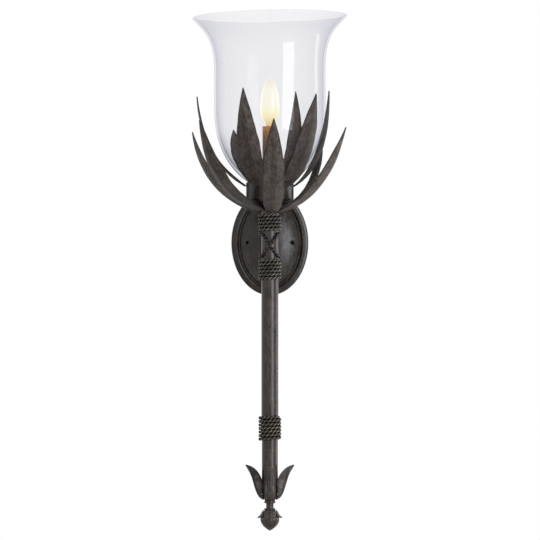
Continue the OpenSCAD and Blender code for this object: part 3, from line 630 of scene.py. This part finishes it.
def petal(azimuth, rows=22, cells=10):
    """A petal that lies along the bud and curls out at its tip."""
    half_width, half_thick = 9, 0.8
    path = [[9.6, BUD_TOP + 0.2], [11.6, BUD_TOP - 1.4], [BUD_R - 0.8, BUD_TOP - 9.5],
            [BUD_R + 4.4, BUD_TOP - 10.8]]
    az = math.radians(azimuth)
    verts = []
    for side in (1, -1):
        for i in range(rows + 1):
            t = i / rows
            c, d = bezier(path, t), bezier_dir(path, t)
            w = half_width * leaf_width(t, 0.55)
            bend = -0.05 - 0.21 * smooth(t / TAPER_FROM)
            for j in range(cells + 1):
                s = 2 * j / cells - 1
                off = side * half_thick * (1 - 0.5 * s * s) - bend * s * s * w
                verts.append(blade_point(c, d, off, s * w, az))
    return verts, shell_faces(rows, cells)


bud()
piece("bud_petals_curled", *join([petal(a) for a in (0, 90, 180, 270)]), "sconce", "forged_leaf",
      PETAL_IRON, "bud_petals", angle=70)


# ---- twisted wire: two strands laid round each other along the CAD's rope routes ----

LAY = 12.4                      # length over which the strands turn once round each other
STRAND_R, STRAND_END_R, STRAND_SIDES = 1.16, 0.85, 10
STRAND_OUT, STRAND_ASIDE = 1.0, 1.3
ROUTE_STEPS = 96                # points of a route in each turn
LASH_START, CROSS_HALF, BUMP_HALF = -150, 70, 48
LASH_POINTS = 176


def wrap_route(low_z, turns):
    """Points of [azimuth, radius, height] on a wrap whose lowest turn passes the front at low_z."""
    out = []
    for i in range(round(ROUTE_STEPS * (turns - 1 + (WRAP_END - WRAP_START) / 360)) + 1):
        az = WRAP_START + 360 * i / ROUTE_STEPS
        out.append((math.radians(az), WRAP_R, low_z + PITCH * az / 360))
    return out


def lash_route():
    """The lashing falls across the front and rises across it again, and bulges over itself there."""
    out = []
    for i in range(LASH_POINTS + 1):
        az = LASH_START + 360 * i / ROUTE_STEPS
        if az < 180:
            z = LASH_HIGH + (LASH_LOW - LASH_HIGH) * smooth((az + CROSS_HALF) / (2 * CROSS_HALF))
        else:
            z = LASH_LOW + (LASH_HIGH - LASH_LOW) * smooth((az - 360 + CROSS_HALF) / (2 * CROSS_HALF))
        r = WRAP_R + (ROPE_D + 0.9) * smooth(1.45 * (1 - abs(az - 360) / BUMP_HALF))
        out.append((math.radians(az), r, z))
    return out


def rope(name, route, turn0=0.0, material=WIRE_IRON, shadow_sleeve=True):
    """Two strands along a route, with a straight stretch at each end, on a near-black sleeve round the
    stem: a painted shadow between and under the turns.
    """
    mids = [Vector(polar(r, az, z)) for az, r, z in route]
    outs = [Vector((math.sin(az), -math.cos(az), 0)) for az, _, _ in route]
    first, last = route[0][0], route[-1][0]
    for _ in range(4):
        mids.insert(0, mids[0] - Vector((math.cos(first), math.sin(first), 0)) * ROPE_D / 4)
        outs.insert(0, outs[0])
        mids.append(mids[-1] + Vector((math.cos(last), math.sin(last), 0)) * ROPE_D / 4)
        outs.append(outs[-1])
    length, run = [0.0], 0.0
    for a, b in zip(mids, mids[1:]):
        run += (b - a).length
        length.append(run)
    n = len(mids)
    radii = [STRAND_END_R] + [STRAND_R] * (n - 2) + [STRAND_END_R]
    parts, uvs = [], []
    for strand in (0, 1):
        pts = []
        for i, p in enumerate(mids):
            t = (mids[min(n - 1, i + 1)] - mids[max(0, i - 1)]).normalized()
            o = (outs[i] - outs[i].dot(t) * t).normalized()
            u = t.cross(o)
            if u.z < 0:
                u = -u
            phi = TURN * length[i] / LAY + math.pi * strand + turn0
            pts.append(p + STRAND_OUT * math.cos(phi) * o + STRAND_ASIDE * math.sin(phi) * u)
            for k in range(STRAND_SIDES):
                # u is high on a strand's outer side and where the strand lies outermost; the wire look
                # paints shade where it is low
                outward = 0.62 * math.cos(TURN * k / STRAND_SIDES) + 0.38 * math.cos(phi)
                uvs.append((outward, length[i]))
        parts.append(tube(pts, outs, radii, STRAND_SIDES))
    if shadow_sleeve:
        # The sleeve's u of 0 paints it near black: a painted shadow where the stem would show between the
        # strands
        low, high = min(z for _, _, z in route) + 0.5, max(z for _, _, z in route) - 0.5
        inner, outer = STEM_R + 0.1, STEM_R + 0.55
        parts.append(revolve([(inner, low), (outer, low), (outer, high), (inner, high)], 64))
        uvs += [(0.0, 0.0)] * len(parts[-1][0])
    piece(name + "_twisted", *join(parts), "sconce", "iron_wire", material, name, uvs, angle=60)


rope("wrap_upper", wrap_route(UPPER_LOW, UPPER_TURNS))
rope("wrap_middle", wrap_route(MIDDLE_HIGH - (MIDDLE_TURNS - 1) * PITCH, MIDDLE_TURNS), 1.0)
rope("wrap_lower", wrap_route(LOWER_HIGH - (LOWER_TURNS - 1) * PITCH, LOWER_TURNS), 2.0)
rope("cross_lashing", lash_route(), 0.5, SHADED_LASH_IRON, shadow_sleeve=False)


# ---- backplate: the CAD's oval with a finer ridge and groove, open screw holes and a hollow back ----

# Rings of the rim and of the hollow: [inset from the edge, height above the wall]
RIM = [(0, 0), (0, 3.0), (0.5, 3.9), (1.6, 4.6), (3.2, 5.0), (4.8, 5.5), (6.0, 6.6), (7.0, 7.9),
       (8.0, 8.4), (9.0, 8.1), (10.0, 6.9), (11.0, 5.5), (12.2, 4.8), (13.4, 4.9), (14.4, 5.9), (15.8, 7.0)]
HOLLOW = [(5, 0), (7.5, PLATE_WALL - 0.2), (16, PLATE_WALL)]
FIELD_INSET, FIELD_LOW = 18, 7.0
PLATE_COUNT, HOLE_COUNT = 192, 48


def oval(a, b, h):
    angles = [TURN * i / PLATE_COUNT for i in range(PLATE_COUNT)]
    return [(a * math.cos(t), -h, b * math.sin(t)) for t in angles]


def field_oval(k, low, high):
    """A ring of the domed field: k is 0 at the pad and 1 at the field's edge."""
    a, b = PLATE_A - FIELD_INSET, PLATE_B - FIELD_INSET
    h = low + (high - low) * (1 - k * k * (3 - 2 * k))
    return oval(PAD_R + (a - PAD_R) * k, PAD_R + (b - PAD_R) * k, h)


def cutter(near, far, near_r, far_r, x):
    """A closed cone or cylinder square to the wall, from `near` to `far` off the wall, at x."""
    n = HOLE_COUNT
    verts = [(x + r * math.cos(TURN * i / n), -y, r * math.sin(TURN * i / n))
             for y, r in ((near, near_r), (far, far_r)) for i in range(n)]
    faces = [(i, (i + 1) % n, n + (i + 1) % n, n + i) for i in range(n)]
    faces += [tuple(reversed(range(n))), tuple(range(n, 2 * n))]
    mesh = bpy.data.meshes.new("cutter")
    mesh.from_pydata([(x * MM, y * MM, z * MM) for x, y, z in verts], [], faces)
    return link("cutter", mesh)


def backplate():
    count, cavity = PLATE_COUNT, PLATE_RISE - PLATE_WALL
    rings = [field_oval(k / 10, FIELD_LOW, PLATE_RISE) for k in range(11)]
    rings += [oval(PLATE_A - a, PLATE_B - a, h) for a, h in RIM[::-1] + HOLLOW]
    rings += [field_oval(k, PLATE_WALL, cavity) for k in (0.95, 0.8, 0.6, 0.4, 0.2, 0)]
    verts = [(0, -PLATE_RISE, 0)] + [p for r in rings for p in r] + [(0, -cavity, 0)]
    last, inmost = len(verts) - 1, 1 + (len(rings) - 1) * count
    faces = [(0, 1 + (i + 1) % count, 1 + i) for i in range(count)]
    faces += [(last, inmost + i, inmost + (i + 1) % count) for i in range(count)]
    for j in range(len(rings) - 1):
        for i in range(count):
            a, b = 1 + j * count + i, 1 + j * count + (i + 1) % count
            faces.append((a, b, b + count, a + count))
    obj = piece("backplate_relief", verts, faces, "sconce", "wrought_iron", PLATE_IRON, "backplate",
                angle=32)
    bore, sink = (-1, 9.0, SCREW_R, SCREW_R), (6.4, 11.2, SCREW_R, SINK_R)
    holes = [(*cut, x) for x in (-SCREW_X, SCREW_X) for cut in (bore, sink)]
    for hole in holes + [(-1, 14, ARM_HOLE_R, ARM_HOLE_R, 0)]:
        tool = cutter(*hole)
        mod = obj.modifiers.new("hole", "BOOLEAN")
        mod.operation, mod.object, mod.solver = "DIFFERENCE", tool, "EXACT"
        graph = bpy.context.evaluated_depsgraph_get()
        cut_mesh = bpy.data.meshes.new_from_object(obj.evaluated_get(graph))
        obj.modifiers.clear()
        obj.data = cut_mesh
        bpy.data.objects.remove(tool)
    for f in obj.data.polygons:
        f.use_smooth = True


backplate()


# ---- glass shade ----

def shade():
    """Outer and inner curves joined by a rounded rim, with the slight waves of hand-blown glass."""
    neck = [[25, CUP_FLOOR], [25, CUP_FLOOR + 10], [26, CUP_TOP - 5], [SEAT_R, CUP_TOP]]
    bowl = [[SEAT_R, CUP_TOP], [SEAT_R + 21, CUP_TOP + 13.5], [BODY_R - 2, CUP_TOP + 44],
            [BODY_R, CUP_TOP + 104]]
    flare = [[BODY_R, GLASS_TOP - 83], [BODY_R, GLASS_TOP - 30], [BODY_R + 13, GLASS_TOP - 20.5],
             [RIM_R, GLASS_TOP]]
    half, bulge = GLASS_WALL / 2, 0.9
    outer = curve_points(neck, 0, 0.92, 8) + curve_points(bowl, 0.05, 1, 30)
    outer += curve_points(flare, 0, 1, 26)
    inner = curve_inner(neck, FOOT_WALL, 0, 0.85, 8)
    inner += curve_inner(bowl, GLASS_WALL, 0.12, 1, 28, FOOT_WALL - GLASS_WALL)
    inner += curve_inner(flare, GLASS_WALL, 0, 1, 26)
    d = bezier_dir(flare, 1)
    rim = []
    for share in (0.2, 0.4, 0.6, 0.8):
        cos, sin = math.cos(math.pi * share), math.sin(math.pi * share)
        rim.append([RIM_R - d[1] * half + d[1] * half * cos + d[0] * bulge * sin,
                    GLASS_TOP + d[0] * half - d[0] * half * cos + d[1] * bulge * sin])

    def blown(r, z, az):
        up = smooth((z - CUP_TOP) / (GLASS_TOP - CUP_TOP))
        waves = 0.25 * math.sin(2 * az + 0.6) + 0.18 * math.sin(3 * az + z * 0.02)
        waves += 0.1 * math.sin(7 * az - z * 0.03)
        tilt = 2.2 * math.sin(az) + 0.25 * math.sin(5 * az)
        return r + up * waves - 0.4 * up, z + up * up * tilt

    verts, faces = revolve(outer + rim + inner[::-1], 192, blown)
    piece("glass_shade_blown", verts, faces, "shade", "clear_glass", GLASS, "glass_shade", angle=80)


shade()


# ---- bulb ----

def bulb():
    neck_z, top, wide = SLEEVE_TOP + 1, SLEEVE_TOP + BULB_H, 14.5
    low = [[5.95, neck_z], [6.95, neck_z + 9], [wide, neck_z + 11], [wide, neck_z + 25]]
    high = [[wide, neck_z + 25], [14.3, neck_z + 47], [8.5, top - 1.5], [0.8, top]]
    profile = curve_points(low, 0, 1, 18) + curve_points(high, 0.04, 1, 30)
    verts, faces = revolve(profile, 72, closed=False)
    piece("bulb_glass_lit", verts, faces, "bulb", "lit_glass", BULB, "bulb_glass", angle=80)


bulb()


# ---- studio: pale floor, white surround, soft strip at the right front, weak strip at the right ----

def strip(name, azimuth, distance, height, width, tall, watts, color=(1, 1, 1)):
    """An upright strip light that faces the torch's axis from an azimuth."""
    data = bpy.data.lights.new(name, "AREA")
    data.shape = "RECTANGLE"
    data.size, data.size_y = width, tall
    data.energy = watts
    data.color = color
    obj = link(name, data)
    az = math.radians(azimuth)
    obj.location = (distance * math.sin(az), AXIS_Y * MM - distance * math.cos(az), height)
    aim = Vector((0, AXIS_Y * MM, height)) - obj.location
    obj.rotation_euler = aim.to_track_quat("-Z", "Y").to_euler()
    obj.visible_camera = False


strip("strip_softbox", 38, 2.4, 0.1, 1.05, 2.4, 45, (0.95, 0.98, 1.06))
strip("rim_strip", 112, 2.2, 0.0, 0.35, 2.0, 12)

warm = bpy.data.lights.new("bulb_glow", "POINT")
warm.energy = 1.1
warm.shadow_soft_size = 0.0165
warm.color = (1.0, 0.66, 0.34)
glow = link("bulb_glow", warm)
glow.location = (0, AXIS_Y * MM, 0.199)
glow.visible_camera = glow.visible_glossy = glow.visible_transmission = False

# The surround is white where it is seen, also in or through the glass, and lights at half strength
scene.world = bpy.data.worlds.new("studio")
w = Nodes(scene.world, "ShaderNodeOutputWorld")
rays = w.add("ShaderNodeLightPath").outputs
seen = w.math("MAXIMUM", rays["Is Camera Ray"], rays["Is Glossy Ray"])
seen = w.math("MAXIMUM", seen, rays["Is Transmission Ray"])
dim = w.add("ShaderNodeBackground", Color=(1, 1, 1, 1), Strength=0.5)
white = w.add("ShaderNodeBackground", Color=(1, 1, 1, 1), Strength=1.0)
w.surface(w.add("ShaderNodeMixShader", Fac=seen, i1=dim.outputs[0], i2=white.outputs[0]))


def staged(name, verts, material):
    """A flat face of the surroundings, which isn't part of the sconce."""
    mesh = bpy.data.meshes.new(name)
    mesh.from_pydata(verts, [], [tuple(range(len(verts)))])
    mesh.materials.append(material)
    link(name, mesh)


floor_x, floor_front, floor_back, floor_z = 2.5, -2.2, 1.4, -0.62
fm = new_material("floor_look")
floor_color = fm.mix(fm.noise(fm.coords(), 30.0), (0.86, 0.86, 0.86), (0.9, 0.9, 0.9))
staged("floor", [(-floor_x, floor_front, floor_z), (floor_x, floor_front, floor_z),
                 (floor_x, floor_back, floor_z), (-floor_x, floor_back, floor_z)],
       fm.done(Base_Color=floor_color, Roughness=0.9))

# A patch of wall painted near black, a painted shadow, shows in the screw holes from the front, and is
# see-through from behind
pm = new_material("wall_patch_look")
behind = pm.add("ShaderNodeNewGeometry").outputs["Backfacing"]
unseen = pm.math("SUBTRACT", 1.0, pm.add("ShaderNodeLightPath").outputs["Is Camera Ray"])
painted_shade_color = pm.mix(pm.noise(pm.coords(), 300.0), (0.02, 0.018, 0.016), (0.04, 0.036, 0.034))
painted_shade_wall = pm.add("ShaderNodeBsdfDiffuse", Color=painted_shade_color)
empty = pm.add("ShaderNodeBsdfTransparent")
pm.surface(pm.add("ShaderNodeMixShader", Fac=pm.math("MAXIMUM", behind, unseen),
                  i1=painted_shade_wall.outputs[0], i2=empty.outputs[0]))
patch_a, patch_b, patch_y = 0.050, 0.072, 0.0006
staged("wall_patch", [(patch_a * math.cos(TURN * i / 48), patch_y, patch_b * math.sin(TURN * i / 48))
                      for i in range(48)], pm.data)

# The photograph's view: level, 4.6 m in front of the torch's axis, 1.5 mm a pixel there
camera_data = bpy.data.cameras.new("camera")
camera_data.sensor_width = 36
camera_data.lens = 204.44
camera_data.clip_end = 50
camera = link("camera", camera_data)
camera.location = (0.0002, -4.74, -0.042)
camera.rotation_euler = (math.radians(90), 0, 0)
scene.camera = camera
scene.view_settings.view_transform = "Standard"
